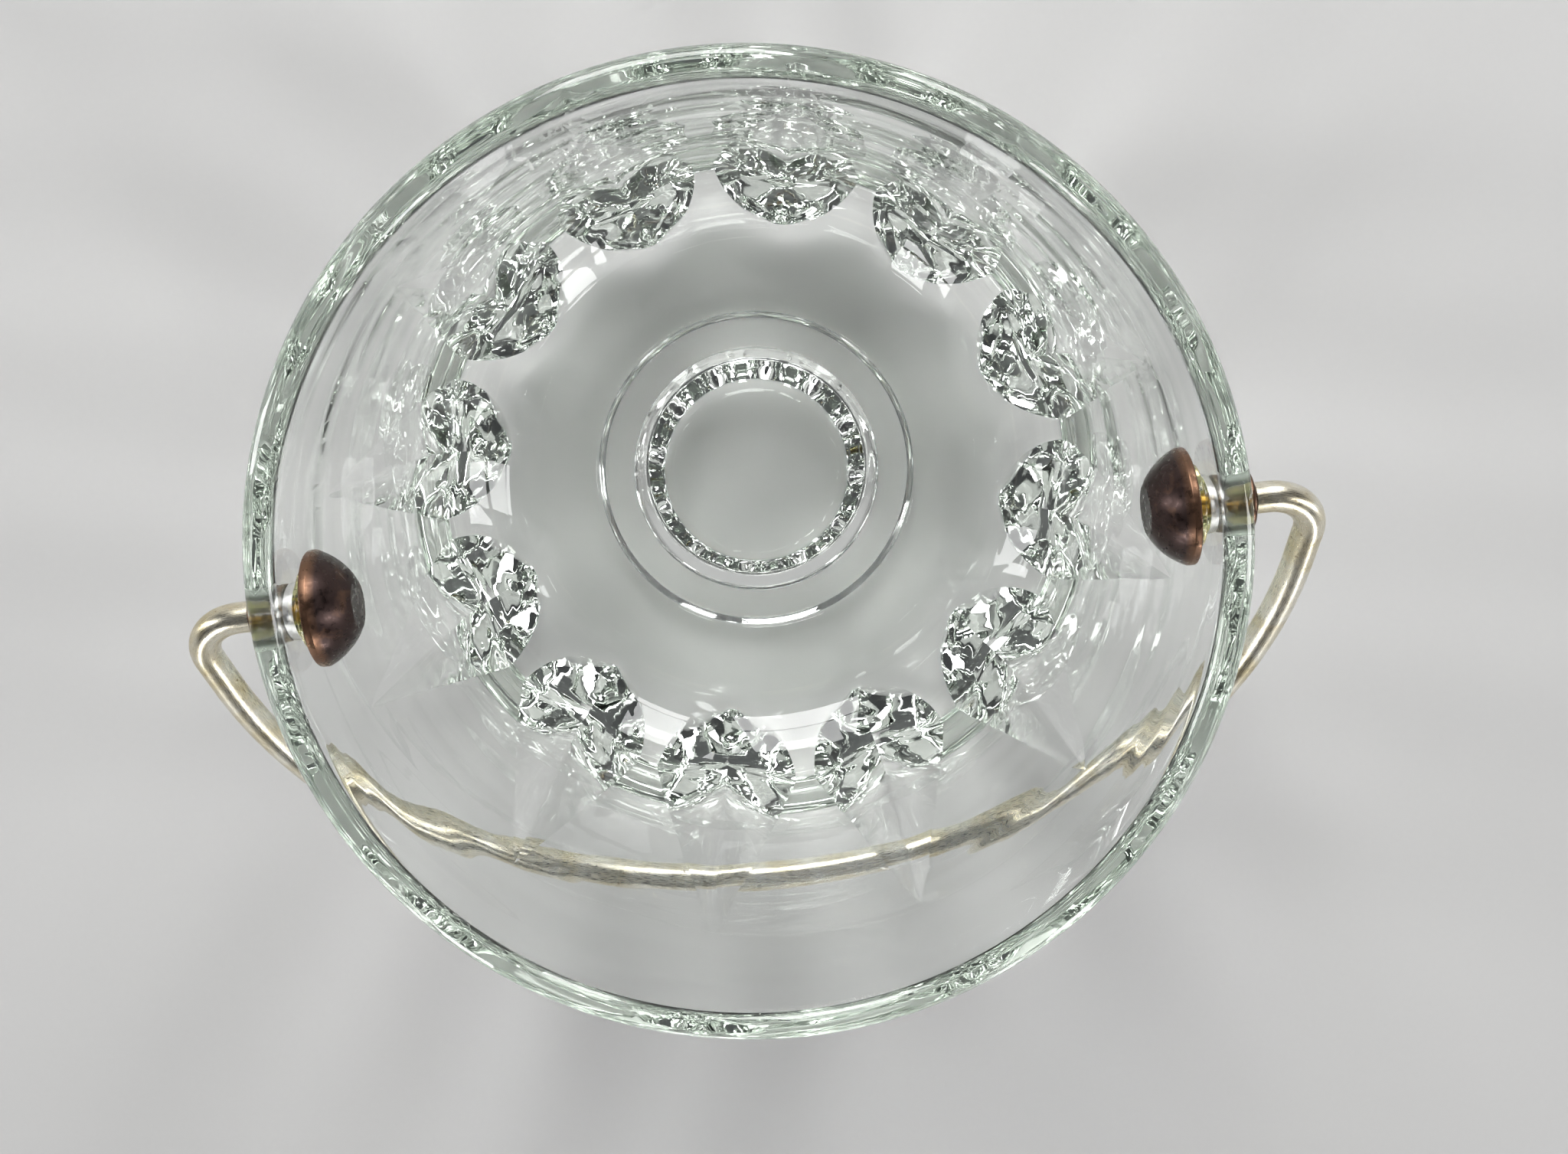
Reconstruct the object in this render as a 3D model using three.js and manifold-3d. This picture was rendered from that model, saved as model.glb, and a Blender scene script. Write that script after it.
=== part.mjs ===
// A cut glass ice bucket with a swinging metal bail.
// Millimetres, +Z up, origin at the middle of the foot ring's underside, the bail's pivots along X.
// The bail is drawn as it hangs, resting against the wall on the -Y side.
import * as THREE from "three";
import { mergeVertices } from "three/addons/utils/BufferGeometryUtils.js";
import Module from "manifold-3d";

const wasm = await Module();
wasm.setup();

// Glass body
const height = 128;
const rimRadius = 80;
const rimWall = 5;
const rimOuterRound = 2.2;
const rimInnerRound = 1.6;
const heelRadius = 74.4;
const heelHeight = 6.4;
const heelRound = 17;
const footRadius = 34.5;
const footWidth = 6.5;
const footHeight = 3;
const footDraft = 1.2;
const hollowRise = 9.2;
const hollowTopRadius = 19.5;
const hollowTopHeight = 8.6;
const hollowRound = 6;
const floorHeight = 16;
const floorRadius = 69;
const floorRound = 30;
const glassSides = 96;

// Leaf shaped cuts, measured along the outer surface: the first from the foot's edge, the others from the tip
const cutStart = 22;
const cutLength = 101;
const cutShoulder = 17;
const cutWidest = 24;
const cutHalfWidth = 16.9;
const cutFullness = 0.58;
const cutCount = 12;
const cutTurn = THREE.MathUtils.degToRad(2.5);

// Steps along a cut, to the shoulder and on to the tail, and how strongly they crowd at their start
const cutTipSteps = 5;
const cutTipCrowding = 1.5;
const cutTailSteps = 10;
const cutTailCrowding = 1.35;

// How far in and up from the heel's corner the four facets of a cut meet, and its valley bends above there
const crossingInset = 9.5;
const crossingRise = 14;
const tailInset = 1.2;
const tailRise = 26;

// Pivots
const pivotDrop = 12.5;
const clearance = 0.3;
const holeRadius = 5;
const threadRadius = 2;
const flangeRadius = 6.8;
const flangeThickness = 1.2;
const collarRadius = 5;
const collarThickness = 2.2;
const collarEdge = 0.5;
const nutRadius = 9.7;
const nutHeight = 7;
const nutEdge = 1.2;
const nutCrownRadius = 4.2;
const nutBulge = 0.7;
const nutBoreDepth = 5;
const nutEndGap = 0.6;
const turnedSides = 32;

// Bail
const rodRadius = 2.6;
const bailStub = 2.5;
const bailBend = 8;
const bailLean = THREE.MathUtils.degToRad(7);
const bailSpare = 14.7;
const rodSides = 12;
const rodSteps = 96;

// Materials
const clearGlass = { color: 0xdfe6e0, roughness: 0.03, metalness: 0, transparent: true, opacity: 0.4 };
const clearNylon = { color: 0xe8e6d6, roughness: 0.3, metalness: 0, transparent: true, opacity: 0.7 };
const silverPlate = { color: 0xc9c1a6, roughness: 0.25, metalness: 1 };
const darkBronze = { color: 0x3a241a, roughness: 0.35, metalness: 0.9 };

const at = (x, y) => new THREE.Vector2(x, y);

// Corners of the vessel's section, as radius and height
const footEdge = at(footRadius + footDraft, footHeight);
const heel = at(heelRadius, heelHeight);
const rimOuter = at(rimRadius, height);
const rimInner = at(rimRadius - rimWall, height);
const floorCorner = at(floorRadius, floorHeight);
const floorCentre = at(0, floorHeight);
const hollowCentre = at(0, hollowRise);
const hollowTop = at(hollowTopRadius, hollowTopHeight);
const footInner = at(footRadius - footWidth, 0);

// Places on a cut's valley, at the azimuth of its middle
const crossing = at(heelRadius - crossingInset, heelHeight + crossingRise);
const tailBend = at(heelRadius - tailInset, heelHeight + tailRise);

// Places along the pivot axis, worked out from the wall at that height
const pivotHeight = height - pivotDrop;
const wallLean = Math.atan2(rimRadius - heelRadius, height - heelHeight);
const flangeSeat = seatOnInnerWall(flangeRadius) - clearance;
const nutSeat = flangeSeat - flangeThickness - clearance;
const collarSeat = seatOnOuterWall(collarRadius) + clearance;
const shoulder = collarSeat + collarThickness + clearance;
const boreRadius = threadRadius + clearance;

// The bail's line: its bends, its crown and how far it hangs below level
const bendStart = shoulder + bailStub;
const legFoot = bendStart + (bailBend * (1 + Math.sin(bailLean))) / Math.cos(bailLean);
const wallReach = outerRadiusAt(pivotHeight) * Math.cos(wallLean) + rodRadius + clearance;
const bailHeight = wallReach + bailSpare;
const crownRadius =
  (legFoot * Math.cos(bailLean) - bailHeight * Math.sin(bailLean)) / (1 - Math.sin(bailLean));
const hangAngle = wallLean + Math.acos(wallReach / bailHeight);

// Radius of the outer wall's straight run at a height.
function outerRadiusAt(z) {
  return THREE.MathUtils.mapLinear(z, heel.y, rimOuter.y, heel.x, rimOuter.x);
}

// Radius of the inner wall's straight run at a height.
function innerRadiusAt(z) {
  return THREE.MathUtils.mapLinear(z, floorCorner.y, rimInner.y, floorCorner.x, rimInner.x);
}

// Distances from the vessel's axis to the wall, all round a disc that stands across the pivot axis.
function wallAround(discRadius, wallRadiusAt) {
  const distances = [];
  for (let i = 0; i < turnedSides; i++) {
    const angle = (i / turnedSides) * Math.PI * 2;
    const wallRadius = wallRadiusAt(pivotHeight + discRadius * Math.sin(angle));
    distances.push(Math.sqrt(wallRadius ** 2 - (discRadius * Math.cos(angle)) ** 2));
  }
  return distances;
}

function seatOnInnerWall(discRadius) {
  return Math.min(...wallAround(discRadius, innerRadiusAt));
}

function seatOnOuterWall(discRadius) {
  return Math.max(...wallAround(discRadius, outerRadiusAt));
}

// Points of the arc that rounds the corner between two straight runs.
function rounded(before, corner, after, radius, steps) {
  const u = before.clone().sub(corner).normalize();
  const v = after.clone().sub(corner).normalize();
  const half = Math.acos(u.dot(v)) / 2;
  const centre = u.clone().add(v).setLength(radius / Math.sin(half)).add(corner);
  const start = u.clone().multiplyScalar(radius / Math.tan(half)).add(corner).sub(centre);
  const turn = Math.sign(start.cross(v)) * (Math.PI - 2 * half);
  const points = [];
  for (let i = 0; i <= steps; i++) {
    points.push(start.clone().rotateAround(at(0, 0), (turn * i) / steps).add(centre));
  }
  return points;
}

// A closed three.js geometry as a solid that can be joined and cut.
function solid(geometry) {
  const bare = geometry.clone();
  bare.deleteAttribute("normal");
  bare.deleteAttribute("uv");
  const merged = mergeVertices(bare, 1e-4);
  const index = merged.index.array;
  const triVerts = [];
  for (let i = 0; i < index.length; i += 3) {
    const [a, b, c] = index.slice(i, i + 3);
    if (a !== b && b !== c && c !== a) triVerts.push(a, b, c);
  }
  return new wasm.Manifold(
    new wasm.Mesh({
      numProp: 3,
      vertProperties: merged.attributes.position.array,
      triVerts: Uint32Array.from(triVerts),
    }),
  );
}

// A solid back as a three.js geometry.
function surface(body) {
  const mesh = body.getMesh();
  const geometry = new THREE.BufferGeometry();
  geometry.setAttribute("position", new THREE.BufferAttribute(mesh.vertProperties, 3));
  geometry.setIndex(new THREE.BufferAttribute(mesh.triVerts, 1));
  geometry.computeVertexNormals();
  return geometry;
}

// A turned solid about Z from a profile of radius and height.
function turned(profile, sides) {
  return new THREE.LatheGeometry(profile, sides).rotateX(Math.PI / 2);
}

// A turned piece whose axis is the pivot axis. Its profile's heights are distances from the vessel's axis.
function turnedOnPivot(profile, side) {
  const geometry = turned(profile, turnedSides).rotateY((side * Math.PI) / 2);
  return geometry.translate(0, 0, pivotHeight);
}

// The vessel before it is cut: hollow under the base, foot, outer wall, rim, inner wall and floor.
function vesselProfile() {
  return [
    hollowCentre,
    ...rounded(hollowCentre, hollowTop, footInner, hollowRound, 3),
    footInner,
    at(footRadius, 0),
    footEdge,
    ...rounded(footEdge, heel, rimOuter, heelRound, 8),
    ...rounded(heel, rimOuter, rimInner, rimOuterRound, 3),
    ...rounded(rimOuter, rimInner, floorCorner, rimInnerRound, 2),
    ...rounded(rimInner, floorCorner, floorCentre, floorRound, 12),
    floorCentre,
  ];
}

// The outer surface's section from the foot's edge up to the rim.
const outerRun = new THREE.Path([footEdge, ...rounded(footEdge, heel, rimOuter, heelRound, 40), rimOuter]);

// A place on the outer surface's section, that far along it from the foot's edge, and its outward direction.
function onOuterRun(distance) {
  const share = distance / outerRun.getLength();
  const along = outerRun.getTangentAt(share);
  return { point: outerRun.getPointAt(share), outward: at(along.y, -along.x) };
}

// Half the cut's width, that far from its tip: a full round front and a long straight taper.
function cutHalfWidthAt(distance) {
  if (distance < cutWidest) {
    const rest = 1 - distance / cutWidest;
    return cutHalfWidth * (1 - rest ** 2) ** cutFullness;
  }
  const rest = (cutLength - distance) / (cutLength - cutWidest);
  return cutHalfWidth * rest;
}

// One section of the cut's tool: the bottom of the valley, both sides past the cut's edges, and a ridge
// clear of the glass.
function cutSection(bottom, edgeDistance) {
  const past = 1.1;
  const lift = rimWall * 1.5;
  const { point: edge, outward } = onOuterRun(cutStart + edgeDistance);
  const ridge = outward.clone().multiplyScalar(lift).add(edge);
  const bottomPoint = new THREE.Vector3(bottom.x, 0, bottom.y);
  const halfWidth = cutHalfWidthAt(edgeDistance);
  const edgeX = Math.sqrt(edge.x ** 2 - halfWidth ** 2);
  const sidePoint = (side) =>
    new THREE.Vector3(edgeX, side * halfWidth, edge.y).sub(bottomPoint).multiplyScalar(past).add(bottomPoint);
  return [bottomPoint, sidePoint(1), new THREE.Vector3(ridge.x, 0, ridge.y), sidePoint(-1)];
}

// The tool for one cut. Its valley runs straight in from the tip to the crossing and curves out to the tail.
function cutTool() {
  const tip = onOuterRun(cutStart).point;
  const tail = onOuterRun(cutStart + cutLength).point;
  const tailRun = new THREE.QuadraticBezierCurve(crossing, tailBend, tail);
  const sections = [];
  for (let i = 0; i <= cutTipSteps; i++) {
    const share = (i / cutTipSteps) ** cutTipCrowding;
    sections.push(cutSection(tip.clone().lerp(crossing, share), share * cutShoulder));
  }
  for (let i = 1; i <= cutTailSteps; i++) {
    const share = (i / cutTailSteps) ** cutTailCrowding;
    const edgeDistance = THREE.MathUtils.lerp(cutShoulder, cutLength, share);
    sections.push(cutSection(tailRun.getPoint(share), edgeDistance));
  }
  const corners = sections[0].length;
  const index = [];
  for (let i = 0; i + 1 < sections.length; i++) {
    for (let k = 0; k < corners; k++) {
      const here = i * corners + k;
      const beside = i * corners + ((k + 1) % corners);
      index.push(here, here + corners, beside, beside, here + corners, beside + corners);
    }
  }
  const geometry = new THREE.BufferGeometry().setFromPoints(sections.flat());
  return geometry.setIndex(index);
}

// The drilled hole on one side, as a round tool along X.
function drill(side) {
  const tool = new THREE.CylinderGeometry(holeRadius, holeRadius, rimWall * 4, turnedSides);
  return tool.rotateZ(Math.PI / 2).translate(side * (rimRadius - rimWall / 2), 0, pivotHeight);
}

function glassBody() {
  let body = solid(turned(vesselProfile(), glassSides));
  for (let i = 0; i < cutCount; i++) {
    const azimuth = ((i + 0.5) / cutCount) * Math.PI * 2 + cutTurn;
    body = body.subtract(solid(cutTool().rotateZ(azimuth)));
  }
  for (const side of [-1, 1]) body = body.subtract(solid(drill(side)));
  return surface(body);
}

// The flanged bush in the hole: its flange lies inside, under the cap nut.
function bush(side) {
  const sleeveRadius = holeRadius - clearance;
  const flangeFace = flangeSeat - flangeThickness;
  const sleeveEnd = collarSeat - clearance;
  return turnedOnPivot(
    [
      at(boreRadius, flangeFace),
      at(flangeRadius, flangeFace),
      at(flangeRadius, flangeSeat),
      at(sleeveRadius, flangeSeat),
      at(sleeveRadius, sleeveEnd),
      at(boreRadius, sleeveEnd),
      at(boreRadius, flangeFace),
    ],
    side,
  );
}

// The washer between the glass and the rod's shoulder, with its outer edge broken.
function collar(side) {
  const face = collarSeat + collarThickness;
  return turnedOnPivot(
    [
      at(boreRadius, collarSeat),
      at(collarRadius, collarSeat),
      at(collarRadius, face - collarEdge),
      at(collarRadius - collarEdge, face),
      at(boreRadius, face),
      at(boreRadius, collarSeat),
    ],
    side,
  );
}

// The domed nut inside, on the threaded end: a flat crown, a swelling cone and a thin edge, with a blind bore.
function capNut(side) {
  const crown = at(nutCrownRadius, nutSeat - nutHeight);
  const brim = at(nutRadius, nutSeat - nutEdge);
  const slope = brim.clone().sub(crown).normalize();
  const swell = at(slope.y, -slope.x).multiplyScalar(2 * nutBulge);
  const middle = crown.clone().lerp(brim, 0.5).add(swell);
  return turnedOnPivot(
    [
      at(0, crown.y),
      ...new THREE.QuadraticBezierCurve(crown, middle, brim).getPoints(5),
      at(nutRadius, nutSeat),
      at(boreRadius, nutSeat),
      at(boreRadius, nutSeat - nutBoreDepth),
      at(0, nutSeat - nutBoreDepth),
    ],
    side,
  );
}

// A flat path as a curve in the XZ plane.
class UprightCurve extends THREE.Curve {
  constructor(path) {
    super();
    this.path = path;
  }

  getPoint(share, target = new THREE.Vector3()) {
    const point = this.path.getPointAt(share);
    return target.set(point.x, 0, point.y);
  }
}

// The bail: a round rod bent square at both ends, with its crown a single arc, and a thread on each end.
function bail() {
  const path = new THREE.Path();
  path.moveTo(shoulder, 0);
  path.lineTo(bendStart, 0);
  path.absarc(bendStart, bailBend, bailBend, -Math.PI / 2, bailLean);
  path.absarc(0, bailHeight - crownRadius, crownRadius, bailLean, Math.PI - bailLean);
  path.absarc(-bendStart, bailBend, bailBend, Math.PI - bailLean, Math.PI * 1.5);
  path.lineTo(-shoulder, 0);
  const section = new THREE.Shape().absarc(0, 0, rodRadius, 0, Math.PI * 2);
  const rod = new THREE.ExtrudeGeometry(section, {
    curveSegments: rodSides / 2,
    steps: rodSteps,
    extrudePath: new UprightCurve(path),
  });
  let body = solid(rod);
  const threadEnd = nutSeat - nutBoreDepth + nutEndGap;
  const threadTop = shoulder + rodRadius / 2;
  for (const side of [-1, 1]) {
    const thread = new THREE.CylinderGeometry(threadRadius, threadRadius, threadTop - threadEnd, turnedSides);
    thread.rotateZ(Math.PI / 2).translate((side * (threadTop + threadEnd)) / 2, 0, 0);
    body = body.add(solid(thread));
  }
  return surface(body)
    .rotateX(Math.PI / 2 + hangAngle)
    .translate(0, 0, pivotHeight);
}

const group = new THREE.Group();

function addPiece(name, geometry, finish) {
  const material = new THREE.MeshStandardMaterial({ ...finish, flatShading: true });
  const piece = new THREE.Mesh(geometry, material);
  piece.name = name;
  group.add(piece);
}

addPiece("glass_bucket", glassBody(), clearGlass);
addPiece("bail", bail(), silverPlate);
for (const [end, side] of [["left", -1], ["right", 1]]) {
  addPiece(`bush_${end}`, bush(side), clearNylon);
  addPiece(`collar_${end}`, collar(side), darkBronze);
  addPiece(`cap_nut_${end}`, capNut(side), darkBronze);
}

export default group;
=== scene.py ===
"""Looks of a cut glass ice bucket with a swinging bail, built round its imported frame.

Lengths in the classes below are millimetres unless a name says otherwise, and meshes are made in metres.
The vessel's axis is Z, the foot stands on Z = 0 and the bail's pivots lie along X.
"""

import sys

import cmath
import logging
import math
from dataclasses import dataclass
from enum import Enum
from typing import Callable, Sequence, Union

import bmesh
import bpy
from mathutils import Euler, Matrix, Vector, noise

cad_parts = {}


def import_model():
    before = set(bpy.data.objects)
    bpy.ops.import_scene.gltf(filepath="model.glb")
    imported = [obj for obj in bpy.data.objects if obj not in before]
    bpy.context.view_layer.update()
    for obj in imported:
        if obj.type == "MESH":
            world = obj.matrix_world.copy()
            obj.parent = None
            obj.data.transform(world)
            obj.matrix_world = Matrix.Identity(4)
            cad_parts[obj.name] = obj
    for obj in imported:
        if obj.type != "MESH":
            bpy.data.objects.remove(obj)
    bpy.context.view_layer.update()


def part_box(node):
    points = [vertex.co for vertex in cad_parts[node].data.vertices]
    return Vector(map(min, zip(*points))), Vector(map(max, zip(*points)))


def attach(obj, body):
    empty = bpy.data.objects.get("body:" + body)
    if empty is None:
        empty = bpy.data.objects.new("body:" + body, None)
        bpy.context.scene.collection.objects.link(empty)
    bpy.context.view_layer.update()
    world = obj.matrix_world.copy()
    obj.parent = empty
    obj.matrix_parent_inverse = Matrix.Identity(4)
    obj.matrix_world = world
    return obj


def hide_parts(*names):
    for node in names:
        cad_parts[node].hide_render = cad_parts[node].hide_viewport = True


LOG = logging.getLogger("ice_bucket")
MM = 0.001
PIVOT_HEIGHT = 115.5
CUT_MARK = "cut_mark"

# Distances under which corners merge, thin faces dissolve and a section's points count as one
MERGED = 2e-4
DEGENERATE = 1e-4
SAME_POINT = 1e-6

Colour = tuple[float, float, float, float]
Place = tuple[float, float, float]
Piece = bpy.types.Object
Socket = bpy.types.NodeSocket
Wire = Union[Socket, float, int, bool, str, tuple, bpy.types.ID]
Inputs = dict[str | int, Wire]
Nudge = Callable[[int, float], complex]

# A random pattern: patches in a metre, finer layers, and how far it is bent
Pattern = tuple[float, ...]

# A range of numbers, then the range that it is stretched onto where that isn't 0 to 1
Span = tuple[Wire, ...]

# A bump's height in millimetres and how much of it shows
Relief = tuple[float, float]


class Side(Enum):
    """The two ends of the pivot axis, by the sign of X."""

    LEFT = -1
    RIGHT = 1

    @property
    def label(self) -> str:
        """The side's name as the frame's nodes write it."""
        return self.name.lower()


class Body(Enum):
    """The moving bodies of the frame."""

    BUCKET = "bucket"
    HANDLE = "handle"


# Node trees


class NodeGraph:
    """A node tree being wired, for a finish or for a shape."""

    def __init__(self, tree: bpy.types.NodeTree) -> None:
        """Keeps the tree that gets the nodes."""
        self.tree = tree

    def add(self, kind: str, inputs: Inputs | None = None, **settings: object) -> bpy.types.Node:
        """Adds a node, applies its settings, and sets or wires its inputs.

        Args:
            kind: The node's type name.
            inputs: Values or output sockets by input name, or by place where names repeat.
            **settings: The node's own properties.

        Returns:
            The new node.
        """
        node = self.tree.nodes.new(kind)
        for key, value in settings.items():
            setattr(node, key, value)
        for key, value in (inputs or {}).items():
            if isinstance(value, Socket):
                self.tree.links.new(value, node.inputs[key])
            else:
                node.inputs[key].default_value = value
        return node

    def out(self, kind: str, inputs: Inputs | None = None, **settings: object) -> Socket:
        """Adds a node as add does, and gives its first output."""
        return self.add(kind, inputs, **settings).outputs[0]

    def math(self, operation: str, first: Wire, *others: Wire, clamp: bool = False) -> Socket:
        """Adds arithmetic: one step for each number after the first, or a single step of the first alone.

        Args:
            operation: The step, such as MULTIPLY.
            first: The first number or socket.
            *others: The further numbers or sockets.
            clamp: Whether the result is kept between 0 and 1.

        Returns:
            The result's socket.
        """
        result = first
        for other in others or (0.0,):
            result = self.out("ShaderNodeMath", {0: result, 1: other}, operation=operation, use_clamp=clamp)
        return result

    def length(self, one: Wire, other: Wire) -> Socket:
        """The square root of two numbers' squares added up."""
        squares = self.math("ADD", self.math("MULTIPLY", one, one), self.math("MULTIPLY", other, other))
        return self.math("SQRT", squares)

    def place(self) -> Socket:
        """The place on the object, in the object's own coordinates."""
        return self.add("ShaderNodeTexCoord").outputs["Object"]

    def vector(self, x: Wire = 0.0, y: Wire = 0.0, z: Wire = 0.0) -> Socket:
        """Joins three numbers into a vector."""
        return self.out("ShaderNodeCombineXYZ", {0: x, 1: y, 2: z})

    def split(self, vector: Wire) -> tuple[Socket, ...]:
        """Parts a vector into its three numbers."""
        return tuple(self.add("ShaderNodeSeparateXYZ", {0: vector}).outputs)

    def noise(self, place: Wire, scale: float, detail: float = 2.0, distortion: float = 0.0) -> Socket:
        """Adds a soft random pattern.

        Args:
            place: The socket with the place that the pattern is read at.
            scale: Patches in a metre.
            detail: How many finer layers are added.
            distortion: How far the pattern is bent by itself.

        Returns:
            A socket between 0 and 1, mostly near the middle.
        """
        inputs = {"Vector": place, "Scale": scale, "Detail": detail, "Distortion": distortion}
        return self.out("ShaderNodeTexNoise", inputs)

    def mix(self, amount: Wire, low: Wire, high: Wire) -> Socket:
        """Mixes two colours, by how much there is of the second."""
        return self.add("ShaderNodeMix", {0: amount, 6: low, 7: high}, data_type="RGBA").outputs[2]

    def spread(self, amount: Wire, span: Span) -> Socket:
        """Stretches a range of numbers onto another one, clamped.

        Args:
            amount: The number's socket.
            span: Both ends of the range, then both ends of the result where they aren't 0 and 1.

        Returns:
            The stretched number's socket.
        """
        return self.out("ShaderNodeMapRange", {"Value": amount, **dict(enumerate(span, 1))})

    def seen(self, *also: str) -> Socket:
        """Tells the rays that show a surface from those that light it.

        Args:
            *also: Kinds of ray that count with the camera's own, such as Is Glossy Ray.

        Returns:
            A socket of 1 for the rays that show it, and 0 for the others.
        """
        path = self.add("ShaderNodeLightPath")
        seen = path.outputs["Is Camera Ray"]
        for kind in also:
            seen = self.math("MAXIMUM", seen, path.outputs[kind])
        return seen

    def bump(self, height: Wire, relief: Relief, under: Wire | None = None) -> Socket:
        """Turns a height into a bump.

        Args:
            height: The height's socket, from 0 to 1.
            relief: What a height of 1 stands for in millimetres, and how much of it shows.
            under: The socket of a bump that this one lies on.

        Returns:
            The normal's socket.
        """
        inputs = {"Height": height, "Distance": relief[0] * MM, "Strength": relief[1]}
        if under is not None:
            inputs["Normal"] = under
        return self.out("ShaderNodeBump", inputs)

    def store(self, shape: Wire, name: str, value: Wire, kind: str, domain: str = "POINT") -> Socket:
        """Keeps a value on a shape under a name.

        Args:
            shape: The shape's socket.
            name: The name.
            value: The value or its socket.
            kind: The value's data type.
            domain: What of the shape carries it, such as FACE.

        Returns:
            The shape's socket after it.
        """
        inputs = {"Geometry": shape, "Name": name, "Value": value}
        return self.out("GeometryNodeStoreNamedAttribute", inputs, data_type=kind, domain=domain)


class ShapeRecipe:
    """A geometry node tree with named inputs, which is run once on an object and leaves a plain mesh."""

    KINDS = {float: "Float", int: "Int", Piece: "Object", bpy.types.Material: "Material"}

    def __init__(self, name: str) -> None:
        """Starts the tree.

        Args:
            name: The tree's name.
        """
        self.tree = bpy.data.node_groups.new(name, "GeometryNodeTree")
        self.graph = NodeGraph(self.tree)
        self._start = self.graph.add("NodeGroupInput")
        self._values: Inputs = {}
        for way in ("INPUT", "OUTPUT"):
            self.tree.interface.new_socket("Geometry", in_out=way, socket_type="NodeSocketGeometry")

    @property
    def blank(self) -> Socket:
        """The mesh that the tree is run on."""
        return self._start.outputs["Geometry"]

    def size(self, name: str, value: Wire) -> Socket:
        """Adds a named input.

        Args:
            name: The input's name.
            value: What it is set to when the tree is run. Its type gives the input's kind.

        Returns:
            The socket that carries the input inside the tree.
        """
        kind = f"NodeSocket{self.KINDS[type(value)]}"
        socket = self.tree.interface.new_socket(name, in_out="INPUT", socket_type=kind)
        self._values[socket.identifier] = value
        return self._start.outputs[name]

    def end(self, shape: Socket, finish: bpy.types.Material) -> None:
        """Ends the tree in real geometry with its finish.

        Args:
            shape: The socket of the shape.
            finish: The finish's material, which becomes the last input.
        """
        made = self.graph.out("GeometryNodeRealizeInstances", {"Geometry": shape})
        inputs = {"Geometry": made, "Material": self.size("Finish", finish)}
        self.graph.add("NodeGroupOutput", {"Geometry": self.graph.out("GeometryNodeSetMaterial", inputs)})

    def run(self, piece: Piece) -> None:
        """Runs the tree on an object and keeps the result as its plain mesh.

        Args:
            piece: The object, already in the scene.
        """
        modifier = piece.modifiers.new(self.tree.name, "NODES")
        modifier.node_group = self.tree
        for identifier, value in self._values.items():
            modifier[identifier] = value
        bpy.context.view_layer.update()
        graph = bpy.context.evaluated_depsgraph_get()
        shown = piece.evaluated_get(graph)
        made = bpy.data.meshes.new_from_object(shown, preserve_all_data_layers=True, depsgraph=graph)
        piece.modifiers.clear()
        old = piece.data
        piece.data = made
        made.name = piece.name
        finish = made.materials[-1]
        made.materials.clear()
        made.materials.append(finish)
        made.polygons.foreach_set("material_index", [0] * len(made.polygons))
        bpy.data.meshes.remove(old)


# Finishes


@dataclass(frozen=True)
class Finish:
    """A surface finish, made into a material the first time it is asked for."""

    name: str

    def material(self) -> bpy.types.Material:
        """Makes the finish's material, or finds it.

        Returns:
            The material.
        """
        found = bpy.data.materials.get(self.name)
        if found is not None:
            return found
        made = bpy.data.materials.new(self.name)
        made.use_nodes = True
        made.node_tree.nodes.clear()
        graph = NodeGraph(made.node_tree)
        graph.add("ShaderNodeOutputMaterial", self.paint(graph))
        return made

    def paint(self, graph: NodeGraph) -> Inputs:
        """Wires the finish.

        Args:
            graph: The material's nodes.

        Returns:
            What the material's output gets, by input name.
        """
        raise NotImplementedError


@dataclass(frozen=True)
class ClearGlass(Finish):
    """Clear soda glass with a faint green body, wavy, ground in its bores and scuffed underfoot."""

    tone: Colour = (0.985, 0.992, 0.986, 1.0)
    body_tone: Colour = (0.82, 0.88, 0.815, 1.0)
    body_density: float = 9.0
    ior: float = 1.52
    wave_length: float = 5.0
    wave_relief: Relief = (0.012, 1.0)
    wave_detail: float = 1.5
    wave_skew: float = 0.7
    wave_drift: float = 0.12
    bore_radius: float = 5.06
    bore_from: float = 60.0
    ground_roughness: float = 0.32
    scuff_height: float = 0.12
    scuffs: Pattern = (500.0, 4.0)
    scuff_span: Span = (0.56, 0.74, 0.0, 0.4)

    def paint(self, graph: NodeGraph) -> Inputs:
        """Wires the glass: a clear surface with long ripples, and the green of its depth.

        Args:
            graph: The material's nodes.

        Returns:
            The surface and the volume.
        """
        place = graph.place()
        x, y, z = graph.split(place)
        drift = graph.math("ADD", x, graph.math("MULTIPLY", y, self.wave_skew))
        rings = graph.vector(graph.length(x, y), graph.math("MULTIPLY", drift, self.wave_drift), z)
        ripple = graph.noise(rings, 1.0 / (self.wave_length * MM), self.wave_detail)
        raised = graph.math("SUBTRACT", z, PIVOT_HEIGHT * MM)
        bored = graph.math("LESS_THAN", graph.length(y, raised), self.bore_radius * MM)
        in_wall = graph.math("GREATER_THAN", graph.math("ABSOLUTE", x), self.bore_from * MM)
        underfoot = graph.spread(z, (self.scuff_height * MM, 0.0))
        scuffs = graph.spread(graph.noise(place, *self.scuffs), self.scuff_span)
        holes, foot = graph.math("MULTIPLY", bored, in_wall), graph.math("MULTIPLY", underfoot, scuffs)
        surface = {
            "Base Color": self.tone,
            "Roughness": graph.math("MULTIPLY", graph.math("MAXIMUM", holes, foot), self.ground_roughness),
            "IOR": self.ior,
            "Transmission Weight": 1.0,
            "Normal": graph.bump(ripple, self.wave_relief),
        }
        depth = {"Color": self.body_tone, "Density": self.body_density}
        return {
            "Surface": graph.out("ShaderNodeBsdfPrincipled", surface),
            "Volume": graph.out("ShaderNodeVolumeAbsorption", depth),
        }


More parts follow.
